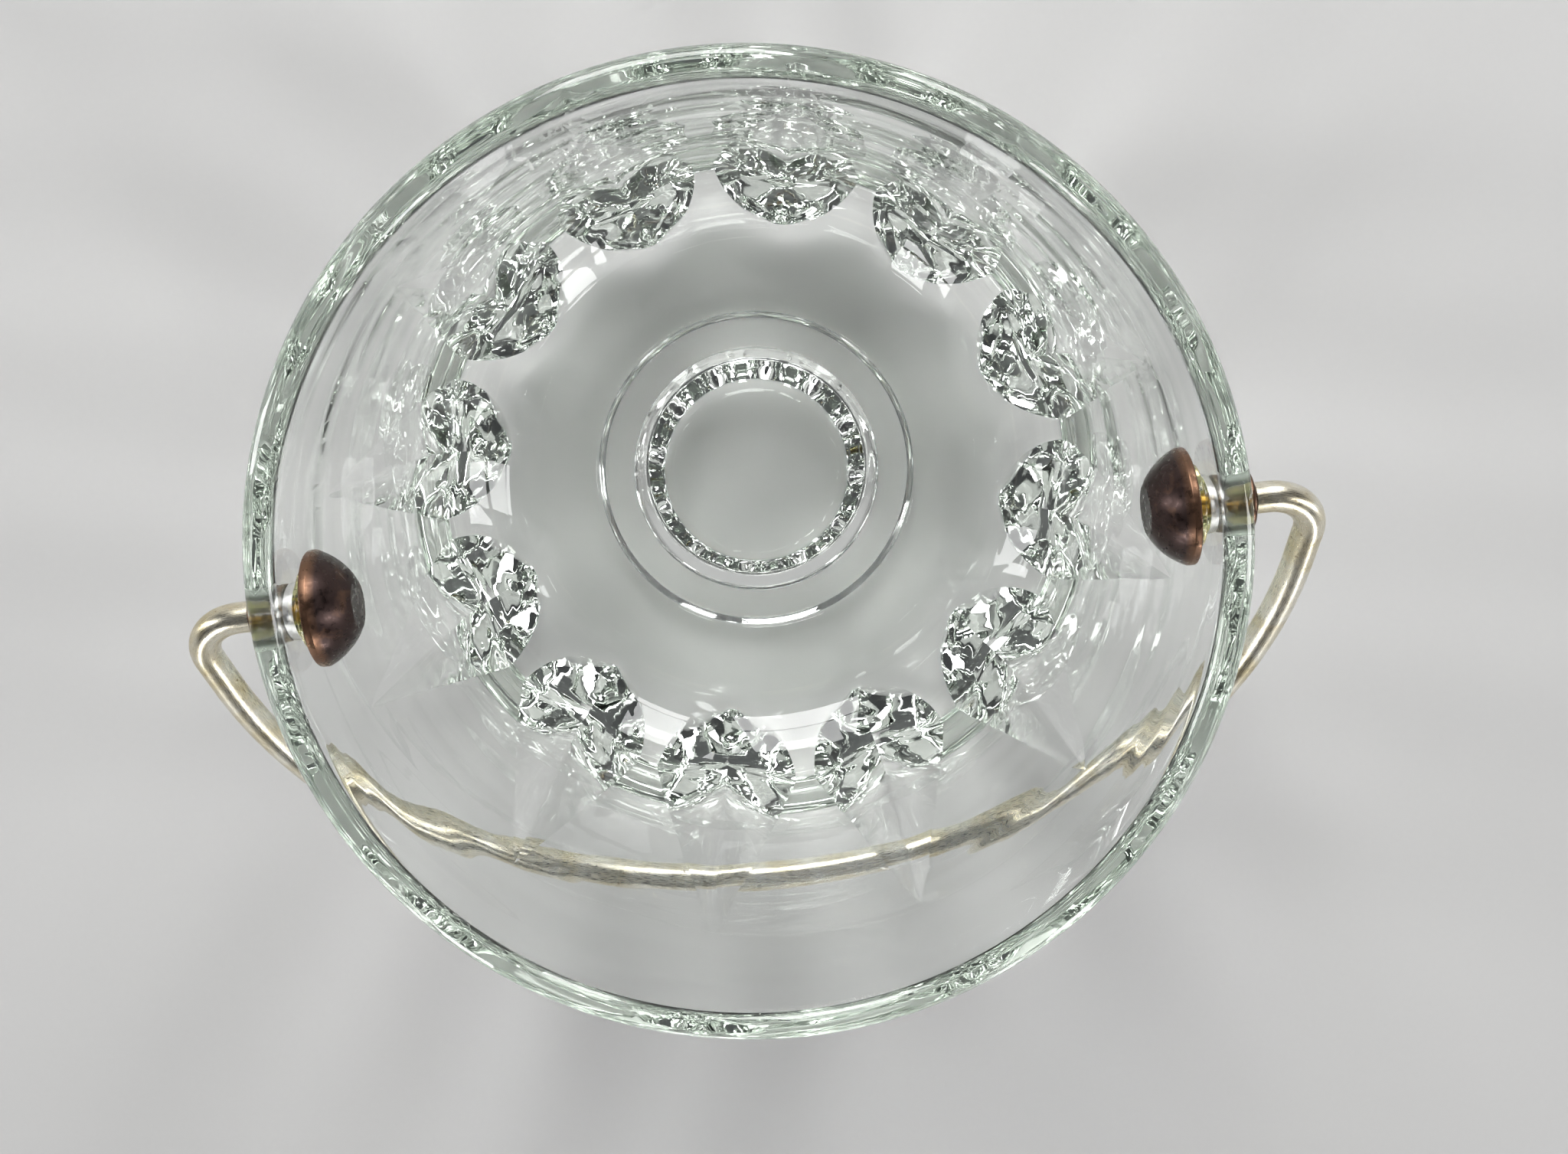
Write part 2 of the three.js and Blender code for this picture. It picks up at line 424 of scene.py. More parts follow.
@dataclass(frozen=True)
class ClearNylon(Finish):
    """Clear nylon, a little yellowed and hazy, with turning marks."""

    tone: Colour = (0.84, 0.78, 0.44, 1.0)
    deep_tone: Colour = (0.66, 0.55, 0.24, 1.0)
    ior: float = 1.53
    clouds: Pattern = (420.0, 3.0)
    cloud_span: Span = (0.35, 0.7)
    cloud_roughness: Span = (0.3, 0.75, 0.084, 0.192)
    mark_scale: float = 900.0
    mark_bend: float = 1.5
    mark_relief: Relief = (0.004, 1.0)

    def paint(self, graph: NodeGraph) -> Inputs:
        """Wires the nylon.

        Args:
            graph: The material's nodes.

        Returns:
            The surface.
        """
        place = graph.place()
        cloud = graph.noise(place, *self.clouds)
        waves = {"Vector": place, "Scale": self.mark_scale, "Distortion": self.mark_bend}
        marks = graph.add("ShaderNodeTexWave", waves).outputs[1]
        surface = {
            "Base Color": graph.mix(graph.spread(cloud, self.cloud_span), self.tone, self.deep_tone),
            "Roughness": graph.spread(cloud, self.cloud_roughness),
            "IOR": self.ior,
            "Transmission Weight": 1.0,
            "Normal": graph.bump(marks, self.mark_relief),
        }
        return {"Surface": graph.out("ShaderNodeBsdfPrincipled", surface)}


@dataclass(frozen=True)
class SilverPlate(Finish):
    """Worn plate on a drawn rod: pale metal, yellowed and browned in patches, scratched along the rod."""

    bright: Colour = (0.81, 0.78, 0.68, 1.0)
    yellowed: Colour = (0.63, 0.55, 0.36, 1.0)
    tarnish: Colour = (0.27, 0.19, 0.11, 1.0)
    patches: Pattern = (130.0, 4.0, 0.6)
    patch_span: Span = (0.38, 0.68)
    patch_relief: Relief = (0.02, 0.5)
    specks: Pattern = (1500.0, 2.0)
    speck_span: Span = (0.62, 0.74)
    speck_patch_span: Span = (0.45, 0.62)
    speck_roughness: float = 0.35
    scratches: Pattern = (9000.0, 3.0)
    scratch_stretch: float = 0.06
    scratch_roughness: Span = (0.35, 0.7, 0.208, 0.39)
    scratch_relief: Relief = (0.004, 0.6)

    def paint(self, graph: NodeGraph) -> Inputs:
        """Wires the plate.

        Args:
            graph: The material's nodes.

        Returns:
            The surface.
        """
        place = graph.place()
        readers = [graph.add("ShaderNodeAttribute", attribute_name=name) for name in ("along", "around")]
        along, around = (reader.outputs["Fac"] for reader in readers)
        rod = graph.vector(graph.math("MULTIPLY", along, self.scratch_stretch), around)
        patches = graph.noise(place, *self.patches)
        specks = graph.spread(graph.noise(place, *self.specks), self.speck_span)
        scratches = graph.noise(rod, *self.scratches)
        tone = graph.mix(graph.spread(patches, self.patch_span), self.bright, self.yellowed)
        spotted = graph.math("MULTIPLY", specks, graph.spread(patches, self.speck_patch_span))
        scratched = graph.spread(scratches, self.scratch_roughness)
        surface = {
            "Base Color": graph.mix(spotted, tone, self.tarnish),
            "Metallic": 1.0,
            "Roughness": graph.math("ADD", scratched, graph.math("MULTIPLY", spotted, self.speck_roughness)),
            "Normal": graph.bump(scratches, self.scratch_relief, graph.bump(patches, self.patch_relief)),
        }
        return {"Surface": graph.out("ShaderNodeBsdfPrincipled", surface)}


@dataclass(frozen=True)
class TurnedBronze(Finish):
    """Dark oxidised bronze, rubbed to copper where hands and cloths reach it, with faint turning marks."""

    dark: Colour = (0.052, 0.034, 0.031, 1.0)
    rubbed: Colour = (0.30, 0.16, 0.09, 1.0)
    rubbed_from: float = 9.0
    rubbed_to: float = 9.8
    rubbed_share: float = 0.6
    metallic: float = 0.92
    patches: Pattern = (230.0, 4.0, 0.5)
    patch_span: Span = (0.58, 0.8, 0.0, 0.4)
    patch_relief: Relief = (0.03, 0.5)
    marks: Pattern = (5200.0, 2.0)
    mark_relief: Relief = (0.006, 0.8)
    grime: Pattern = (900.0, 3.0)
    grime_roughness: Span = (0.3, 0.72, 0.208, 0.442)

    def paint(self, graph: NodeGraph) -> Inputs:
        """Wires the bronze.

        Args:
            graph: The material's nodes.

        Returns:
            The surface.
        """
        place = graph.place()
        shift = {"Vector": place, "Location": (0.0, 0.0, -PIVOT_HEIGHT * MM)}
        _, y, z = graph.split(graph.out("ShaderNodeMapping", shift))
        radius = graph.length(y, z)
        patches = graph.noise(place, *self.patches)
        edge = graph.spread(radius, (self.rubbed_from * MM, self.rubbed_to * MM))
        edge = graph.math("MULTIPLY", edge, self.rubbed_share)
        worn = graph.math("ADD", edge, graph.spread(patches, self.patch_span), clamp=True)
        marks = graph.noise(graph.vector(radius), *self.marks)
        surface = {
            "Base Color": graph.mix(worn, self.dark, self.rubbed),
            "Metallic": self.metallic,
            "Roughness": graph.spread(graph.noise(place, *self.grime), self.grime_roughness),
            "Normal": graph.bump(marks, self.mark_relief, graph.bump(patches, self.patch_relief)),
        }
        return {"Surface": graph.out("ShaderNodeBsdfPrincipled", surface)}


@dataclass(frozen=True)
class PaleFloor(Finish):
    """A plain pale sheet, which runs on into the pale backdrop. Lengths here are metres."""

    tone: Colour = (0.6, 0.597, 0.59, 1.0)
    roughness: float = 0.75
    shine: float = 0.2
    grain: Pattern = (700.0, 3.0)
    grain_span: Span = (0.3, 0.7, 0.0, 0.03)
    grain_tone: Colour = (0.4, 0.4, 0.4, 1.0)
    backdrop: Colour = (0.6, 0.6, 0.6, 1.0)
    backdrop_span: Span = (0.3, 0.75)

    def paint(self, graph: NodeGraph) -> Inputs:
        """Wires the sheet.

        Args:
            graph: The material's nodes.

        Returns:
            The surface.
        """
        place = graph.place()
        grain = graph.spread(graph.noise(place, *self.grain), self.grain_span)
        sheet = {
            "Base Color": graph.mix(grain, self.tone, self.grain_tone),
            "Roughness": self.roughness,
            "Specular IOR Level": self.shine,
        }
        distance = graph.add("ShaderNodeVectorMath", {0: place}, operation="LENGTH").outputs["Value"]
        far = graph.spread(distance, self.backdrop_span)
        shaders = {
            0: graph.math("MULTIPLY", far, graph.seen("Is Glossy Ray", "Is Transmission Ray")),
            1: graph.out("ShaderNodeBsdfPrincipled", sheet),
            2: graph.out("ShaderNodeEmission", {"Color": self.backdrop}),
        }
        return {"Surface": graph.out("ShaderNodeMixShader", shaders)}


GLASS = ClearGlass("green_soda_glass")
NYLON = ClearNylon("yellowed_nylon")
PLATE = SilverPlate("worn_plate")
WORN_BRASS = SilverPlate(
    "worn_brass",
    bright=(0.72, 0.56, 0.30, 1.0),
    yellowed=(0.55, 0.38, 0.17, 1.0),
    tarnish=(0.2, 0.12, 0.06, 1.0),
    scratch_roughness=(0.35, 0.7, 0.224, 0.42),
)
NUT_BRONZE = TurnedBronze("rubbed_bronze")
COLLAR_BRONZE = TurnedBronze("rubbed_bronze_collar", rubbed_from=4.6, rubbed_to=5.2)
FLOOR = PaleFloor("pale_sheet")


# Sections and meshes
# A section's points are complex numbers: the radius, and the height times 1j.


def toward(start: complex, end: complex) -> complex:
    """The direction from one point to another, of length 1."""
    return (end - start) / abs(end - start)


def rounded(before: complex, corner: complex, after: complex, radius: float, steps: int) -> list[complex]:
    """Rounds the corner between two straight runs.

    Args:
        before: A point on the run that comes in.
        corner: The corner.
        after: A point on the run that goes out.
        radius: The arc's radius.
        steps: How many pieces the arc has.

    Returns:
        The arc's points, from the first run to the second.
    """
    u, v = toward(corner, before), toward(corner, after)
    half = math.acos(max(-1.0, min(1.0, (u * v.conjugate()).real))) / 2
    centre = corner + (u + v) / abs(u + v) * radius / math.sin(half)
    first = corner + u * radius / math.tan(half) - centre
    last = corner + v * radius / math.tan(half) - centre
    turn = cmath.phase(last / first)
    return [centre + first * cmath.exp(1j * turn * i / steps) for i in range(steps + 1)]


def rounded_row(corners: Sequence[complex], rounds: Sequence[tuple[float, int]]) -> list[complex]:
    """Rounds every corner of a row but its two ends.

    Args:
        corners: The corners in order.
        rounds: For each arc, its radius and how many pieces it has.

    Returns:
        The row's points, both ends with them.
    """
    row = [corners[0]]
    for before, corner, after, (radius, steps) in zip(corners, corners[1:], corners[2:], rounds):
        row += rounded(before, corner, after, radius, steps)
    return [*row, corners[-1]]


def on_curve(start: complex, middle: complex, end: complex, share: float) -> complex:
    """A place on the curve between two points that a middle one bends toward itself."""
    return (1 - share) ** 2 * start + 2 * share * (1 - share) * middle + share**2 * end


def spaced(points: Sequence[complex], step: float) -> list[complex]:
    """Puts more points on a section's long straight runs.

    Args:
        points: The section.
        step: The longest run that stays whole.

    Returns:
        The section with its added points, and without doubled ones.
    """
    out = [points[0]]
    for point in points[1:]:
        gap = abs(point - out[-1])
        if gap < SAME_POINT:
            continue
        parts = max(1, math.ceil(gap / step - SAME_POINT))
        start = out[-1]
        out.extend(start + (point - start) * i / parts for i in range(1, parts + 1))
    return out


def quads(rows: int, columns: int, turned: bool) -> list[tuple[int, int, int, int]]:
    """Joins neighbouring rows of points by faces.

    Args:
        rows: How many rows there are.
        columns: How many points each row has.
        turned: Whether the last row joins the first. If not, each row closes on itself.

    Returns:
        The faces, as point numbers.
    """
    faces = []
    for row in range(rows if turned else rows - 1):
        here, after = row * columns, (row + 1) % rows * columns
        for k in range(columns - 1 if turned else columns):
            beside = (k + 1) % columns
            faces.append((here + k, after + k, after + beside, here + beside))
    return faces


def lathe(section: Sequence[complex], sides: int, nudge: Nudge | None = None) -> tuple[list, list]:
    """Turns a section about the Z axis.

    Args:
        section: The section, closed or with both ends on the axis.
        sides: How many sides the turned shape has.
        nudge: Moves a point of the section at an angle, from its number and the angle.

    Returns:
        The corners and the faces.
    """
    corners = []
    for k in range(sides):
        angle = 2 * math.pi * k / sides
        for i, point in enumerate(section):
            moved = point + nudge(i, angle) if nudge else point
            corners.append((moved.real * math.cos(angle), moved.real * math.sin(angle), moved.imag))
    return corners, quads(sides, len(section), True)


def add_object(name: str, data: bpy.types.ID) -> Piece:
    """Makes an object and puts it in the scene.

    Args:
        name: The object's name.
        data: Its mesh, lamp or camera.

    Returns:
        The object, at the origin.
    """
    made = bpy.data.objects.new(name, data)
    bpy.context.scene.collection.objects.link(made)
    return made


def make_piece(name: str, corners: Sequence[Sequence[float]], faces: Sequence[Sequence[int]]) -> Piece:
    """Makes an object from corners in millimetres, with doubled corners merged and faces turned outwards.

    Args:
        name: The object's name.
        corners: The corners' places.
        faces: The faces, as lists of corner numbers.

    Returns:
        The object, in the scene and at the origin.
    """
    mesh = bpy.data.meshes.new(name)
    mesh.from_pydata([[c * MM for c in corner] for corner in corners], [], faces)
    shell = bmesh.new()
    shell.from_mesh(mesh)
    bmesh.ops.remove_doubles(shell, verts=shell.verts, dist=MERGED * MM)
    bmesh.ops.dissolve_degenerate(shell, edges=shell.edges, dist=DEGENERATE * MM)
    bmesh.ops.recalc_face_normals(shell, faces=shell.faces)
    if shell.calc_volume(signed=True) < 0:
        bmesh.ops.reverse_faces(shell, faces=shell.faces)
    shell.to_mesh(mesh)
    shell.free()
    return add_object(name, mesh)


def turn_on_pivot(
    name: str, section: Sequence[complex], side: Side, sides: int, nudge: Nudge | None = None
) -> Piece:
    """Turns a section about one end of the pivot axis.

    Args:
        name: The piece's name without its side.
        section: The section, whose heights are distances from the vessel's axis.
        side: The end of the pivot axis.
        sides: How many sides the turned shape has.
        nudge: Moves the section's points, as for the lathe.

    Returns:
        The piece.
    """
    corners, faces = lathe(section, sides, nudge)
    corners = [(side.value * z, side.value * y, x + PIVOT_HEIGHT) for x, y, z in corners]
    return make_piece(f"{name}_{side.label}", corners, faces)


def soften(piece: Piece, crease: float) -> None:
    """Shades a piece smooth, but for its creases and the outlines of its cuts.

    Args:
        piece: The piece.
        crease: The angle from which an edge stays crisp, in degrees.
    """
    shell = bmesh.new()
    shell.from_mesh(piece.data)
    mark = shell.faces.layers.int.get(CUT_MARK)
    for face in shell.faces:
        face.smooth = True
    limit = math.radians(crease)
    for edge in shell.edges:
        if len(edge.link_faces) == 2:
            one, other = edge.link_faces
            outline = mark is not None and one[mark] != other[mark]
            edge.smooth = not outline and edge.calc_face_angle(0.0) < limit
    shell.to_mesh(piece.data)
    shell.free()


def finish_piece(
    piece: Piece, body: Body, slot: str, *nodes: str, finish: Finish | None = None, crease: float = 30.0
) -> None:
    """Shades a piece and hands it to the frame.

    Args:
        piece: The piece.
        body: The body that it moves with.
        slot: The slot that its finish stands for. It is not used.
        *nodes: The frame's nodes that it replaces.
        finish: Its finish, where its mesh has none yet.
        crease: The angle from which an edge stays crisp, in degrees.
    """
    if finish is not None:
        piece.data.materials.append(finish.material())
    soften(piece, crease)
    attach(piece, body.value)
    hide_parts(*nodes)
    low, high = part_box(nodes[0])
    triangles = sum(len(face.vertices) - 2 for face in piece.data.polygons)
    LOG.info("%s: %d triangles, for a node of %s", piece.name, triangles,
             " x ".join(f"{(b - a) / MM:.1f}" for a, b in zip(low, high)))


# The glass vessel


@dataclass
class GlassVessel:
    """The thick vessel with its hollow foot, its leaf shaped cuts round the heel and two drilled holes."""

    height: float = 128.0
    rim_radius: float = 80.0
    rim_wall: float = 5.0
    rim_outer_round: float = 2.2
    rim_inner_round: float = 1.6
    heel_radius: float = 74.4
    heel_height: float = 6.4
    heel_round: float = 17.0
    foot_radius: float = 34.5
    foot_width: float = 6.5
    foot_height: float = 3.0
    foot_draft: float = 1.2
    foot_edge_round: float = 0.7
    hollow_rise: float = 9.2
    hollow_top_radius: float = 19.5
    hollow_top_height: float = 8.6
    hollow_round: float = 6.0
    floor_height: float = 16.0
    floor_radius: float = 69.0
    floor_round: float = 30.0
    sides: int = 180
    run_step: float = 2.0
    arc_steps: tuple[int, ...] = (14, 4, 4, 4, 22, 9, 7, 14)
    outer_run_steps: int = 60

    cut_count: int = 12
    cut_turn: float = 2.5
    cut_start: float = 22.0
    cut_length: float = 101.0
    cut_crossing: complex = -9.5 + 14j
    cut_bend: complex = -1.2 + 26j
    cut_shoulder: float = 17.0
    cut_widest: float = 24.0
    cut_half_width: float = 16.9
    cut_fullness: float = 0.58
    cut_overshoot: float = 1.1
    cut_clearance: float = 7.5
    tip_steps: int = 18
    tip_crowding: float = 1.5
    tail_steps: int = 64
    tail_crowding: float = 1.35
    steps_across: int = 20
    hole_radius: float = 5.0
    drill_reach: float = 10.0
    drill_sides: int = 64

    wave_height: float = 0.13
    wave_breadth: float = 55.0
    wave_length: float = 13.0
    wave_calm: Place = (6.0, 8.0, 12.0)
    quick_share: float = 0.35
    quick_squeeze: float = 1.7
    quick_shift: float = 9.0
    quick_length: float = 5.5
    ripple_height: float = 0.2
    ripple_length: float = 4.4
    ripple_breadth: float = 8.5
    ripple_full_below: float = 26.0
    ripple_calm_above: float = 60.0
    ripple_calm: float = 0.12
    ripple_seed_step: float = 7.3

    def __post_init__(self) -> None:
        """Works out the section's corners and the outer run that the cuts follow."""
        self.foot_edge = complex(self.foot_radius + self.foot_draft, self.foot_height)
        self.heel = complex(self.heel_radius, self.heel_height)
        self.rim_outer = complex(self.rim_radius, self.height)
        outer = [self.foot_edge, self.heel, self.rim_outer]
        self.outer_run = rounded_row(outer, [(self.heel_round, self.outer_run_steps)])

    def section(self) -> list[complex]:
        """Draws the vessel's section.

        Returns:
            Its points, from the middle of the hollow, round the outside and back to the floor's middle.
        """
        corners = [
            complex(0, self.hollow_rise),
            complex(self.hollow_top_radius, self.hollow_top_height),
            complex(self.foot_radius - self.foot_width, 0),
            complex(self.foot_radius, 0),
            self.foot_edge,
            self.heel,
            self.rim_outer,
            complex(self.rim_radius - self.rim_wall, self.height),
            complex(self.floor_radius, self.floor_height),
            complex(0, self.floor_height),
        ]
        edge = self.foot_edge_round
        radii = (self.hollow_round, edge, edge, 2 * edge, self.heel_round, self.rim_outer_round,
                 self.rim_inner_round, self.floor_round)
        return spaced(rounded_row(corners, list(zip(radii, self.arc_steps))), self.run_step)

    def waviness(self, section: Sequence[complex]) -> Nudge:
        """The slow waves in the surfaces, long round the axis and short across it.

        Args:
            section: The section's points.

        Returns:
            A nudge for the lathe.
        """
        along, normals = [0.0], []
        for i in range(1, len(section)):
            along.append(along[-1] + abs(section[i] - section[i - 1]))
        for i in range(len(section)):
            before, after = section[max(i - 1, 0)], section[min(i + 1, len(section) - 1)]
            normals.append(-1j * toward(before, after))

        def nudge(i: int, angle: float) -> complex:
            """Waves a point of the section.

            Args:
                i: The point's number.
                angle: Where the section stands round the axis.

            Returns:
                How far the point moves off the plain section.
            """
            point = section[i]
            foot, rim, axis = self.wave_calm
            calm = min(1.0, point.imag / foot, abs(self.height - point.imag) / rim, point.real / axis)
            if calm <= 0:
                return 0j
            x = math.cos(angle) * point.real / self.wave_breadth
            y = math.sin(angle) * point.real / self.wave_breadth
            slow = noise.noise(Vector((x, y, along[i] / self.wave_length)))
            squeezed = (x * self.quick_squeeze + self.quick_shift, y * self.quick_squeeze)
            quick = noise.noise(Vector((*squeezed, along[i] / self.quick_length)))
            return normals[i] * self.wave_height * calm * (slow + self.quick_share * quick)

        return nudge

    def on_outer_run(self, distance: float) -> tuple[complex, complex]:
        """A place on the outer surface's section.

        Args:
            distance: How far it is along the surface from the foot's edge.

        Returns:
            The point and its outward direction.
        """
        left = distance
        for start, end in zip(self.outer_run, self.outer_run[1:]):
            run = abs(end - start)
            if left <= run:
                return start + toward(start, end) * left, -1j * toward(start, end)
            left -= run
        return self.outer_run[-1], -1j * toward(self.outer_run[-2], self.outer_run[-1])

    def cut_half_width_at(self, distance: float) -> float:
        """Half the cut's width: a full round front and a long straight taper.

        Args:
            distance: How far from the cut's tip.

        Returns:
            Half the width there.
        """
        if distance < self.cut_widest:
            rest = 1 - distance / self.cut_widest
            return self.cut_half_width * max(0.0, 1 - rest**2) ** self.cut_fullness
        return self.cut_half_width * (self.cut_length - distance) / (self.cut_length - self.cut_widest)

    def cut_section(self, bottom: complex, edge_distance: float) -> list[Vector]:
        """One section of the cut's tool.

        Args:
            bottom: The valley's bottom.
            edge_distance: How far from the tip the cut's edges are.

        Returns:
            The points: the bottom, one side out past the cut's edge, the ridge clear of the glass, and the
            other side.
        """
        edge, outward = self.on_outer_run(self.cut_start + edge_distance)
        ridge = edge + outward * self.cut_clearance
        low = Vector((bottom.real, 0, bottom.imag))
        half_width = self.cut_half_width_at(edge_distance)
        reach = math.sqrt(edge.real**2 - half_width**2)
        sides = []
        for sign in (1, -1):
            high = low + (Vector((reach, sign * half_width, edge.imag)) - low) * self.cut_overshoot
            sides.append([low.lerp(high, i / self.steps_across) for i in range(1, self.steps_across + 1)])
        return [low, *sides[0], Vector((ridge.real, 0, ridge.imag)), *reversed(sides[1])]

    def leaf_tool(self) -> Piece:
        """Makes the tool for one leaf, whose valley runs straight in to the crossing and curves out.

        Returns:
            The tool.
        """
        tip, _ = self.on_outer_run(self.cut_start)
        tail, _ = self.on_outer_run(self.cut_start + self.cut_length)
        crossing, bend = self.heel + self.cut_crossing, self.heel + self.cut_bend
        sections = []
        for i in range(self.tip_steps + 1):
            share = (i / self.tip_steps) ** self.tip_crowding
            sections.append(self.cut_section(tip + (crossing - tip) * share, share * self.cut_shoulder))
        for i in range(1, self.tail_steps + 1):
            share = (i / self.tail_steps) ** self.tail_crowding
            edge = self.cut_shoulder + share * (self.cut_length - self.cut_shoulder)
            sections.append(self.cut_section(on_curve(crossing, bend, tail, share), edge))
        corners = [tuple(point) for section in sections for point in section]
        return make_piece("leaf_tool", corners, quads(len(sections), len(sections[0]), False))

    def drill_tool(self, side: Side) -> Piece:
        """Makes the round tool for one drilled hole, along X.

        Args:
            side: The end of the pivot axis.

        Returns:
            The tool.
        """
        middle = self.rim_radius - self.rim_wall / 2
        near, far = middle - self.drill_reach, middle + self.drill_reach
        corners = ((0, near), (self.hole_radius, near), (self.hole_radius, far), (0, far))
        section = [complex(*corner) for corner in corners]
        return turn_on_pivot("drill", section, side, self.drill_sides)

    def cutting_recipe(self, *tools: Piece) -> ShapeRecipe:
        """Wires the tree that repeats the leaf tool round the vessel and takes it and the drills away.

        Args:
            *tools: The leaf tool, the left drill and the right drill.

        Returns:
            The recipe.
        """
        recipe = ShapeRecipe("leaf_cutting")
        graph = recipe.graph
        leaf, *drills = (
            graph.add("GeometryNodeObjectInfo", {"Object": recipe.size(name, tool)}).outputs["Geometry"]
            for name, tool in zip(("Leaf Tool", "Left Drill", "Right Drill"), tools)
        )
        count = recipe.size("Cut Count", self.cut_count)
        turn = recipe.size("First Cut Angle", math.radians(self.cut_turn))
        height = recipe.size("Ripple Height", self.ripple_height * MM)
        length = recipe.size("Ripple Length", self.ripple_length * MM)
        breadth = recipe.size("Ripple Breadth", self.ripple_breadth * MM)

        # One leaf for each step round the vessel, which remembers its number and where its points lay
        index, place = graph.out("GeometryNodeInputIndex"), graph.out("GeometryNodeInputPosition")
        pitch = graph.math("DIVIDE", math.tau, count)
        angle = graph.math("ADD", graph.math("MULTIPLY", graph.math("ADD", index, 0.5), pitch), turn)
        steps = {0: place, 1: graph.vector(length, breadth, length)}
        spot = graph.out("ShaderNodeVectorMath", steps, operation="DIVIDE")
        repeated = {
            "Points": graph.out("GeometryNodePoints", {"Count": count}),
            "Instance": graph.store(leaf, "ripple_place", spot, "FLOAT_VECTOR"),
            "Rotation": graph.out("FunctionNodeEulerToRotation", {0: graph.vector(z=angle)}),
        }
        leaves = graph.out("GeometryNodeInstanceOnPoints", repeated)
        leaves = graph.store(leaves, "leaf_number", index, "FLOAT", "INSTANCE")
        leaves = graph.out("GeometryNodeRealizeInstances", {"Geometry": leaves})

        # Ripples in its facets, which fade up the wall
        spot, number = (
            graph.out("GeometryNodeInputNamedAttribute", {"Name": name}, data_type=kind)
            for name, kind in (("ripple_place", "FLOAT_VECTOR"), ("leaf_number", "FLOAT"))
        )
        seed = graph.math("MULTIPLY", number, self.ripple_seed_step)
        pattern = {"Vector": spot, "W": seed, "Scale": 1.0, "Detail": 1.0}
        ripple = graph.out("ShaderNodeTexNoise", pattern, noise_dimensions="4D")
        fading = (self.ripple_full_below * MM, self.ripple_calm_above * MM, 1.0, self.ripple_calm)
        calm = graph.spread(graph.split(place)[2], fading)
        rise = graph.math("MULTIPLY", graph.math("SUBTRACT", ripple, 0.5), height, calm)
        scaled = {0: graph.out("GeometryNodeInputNormal"), "Scale": rise}
        offset = graph.out("ShaderNodeVectorMath", scaled, operation="SCALE")
        leaves = graph.out("GeometryNodeSetPosition", {"Geometry": leaves, "Offset": offset})

        # Every face of a tool has its mark, which its faces on the vessel keep after the cut
        marked = [graph.store(leaves, CUT_MARK, 1, "INT", "FACE")]
        marked += [graph.store(drill, CUT_MARK, 2, "INT", "FACE") for drill in drills]
        blank = {"Mesh 1": recipe.blank}
        cut = graph.add("GeometryNodeMeshBoolean", blank, operation="DIFFERENCE", solver="MANIFOLD")
        for tool in marked:
            graph.tree.links.new(tool, cut.inputs["Mesh 2"])
        recipe.end(cut.outputs[0], GLASS.material())
        return recipe

    def build(self) -> None:
        """Makes the vessel, cuts it, and hands it to the frame."""
        section = self.section()
        vessel = make_piece("glass_vessel", *lathe(section, self.sides, self.waviness(section)))
        tools = [self.leaf_tool(), *(self.drill_tool(side) for side in Side)]
        self.cutting_recipe(*tools).run(vessel)
        for tool in tools:
            bpy.data.meshes.remove(tool.data)
        finish_piece(vessel, Body.BUCKET, "clear_glass", "glass_bucket")


# Turned pieces on the pivots


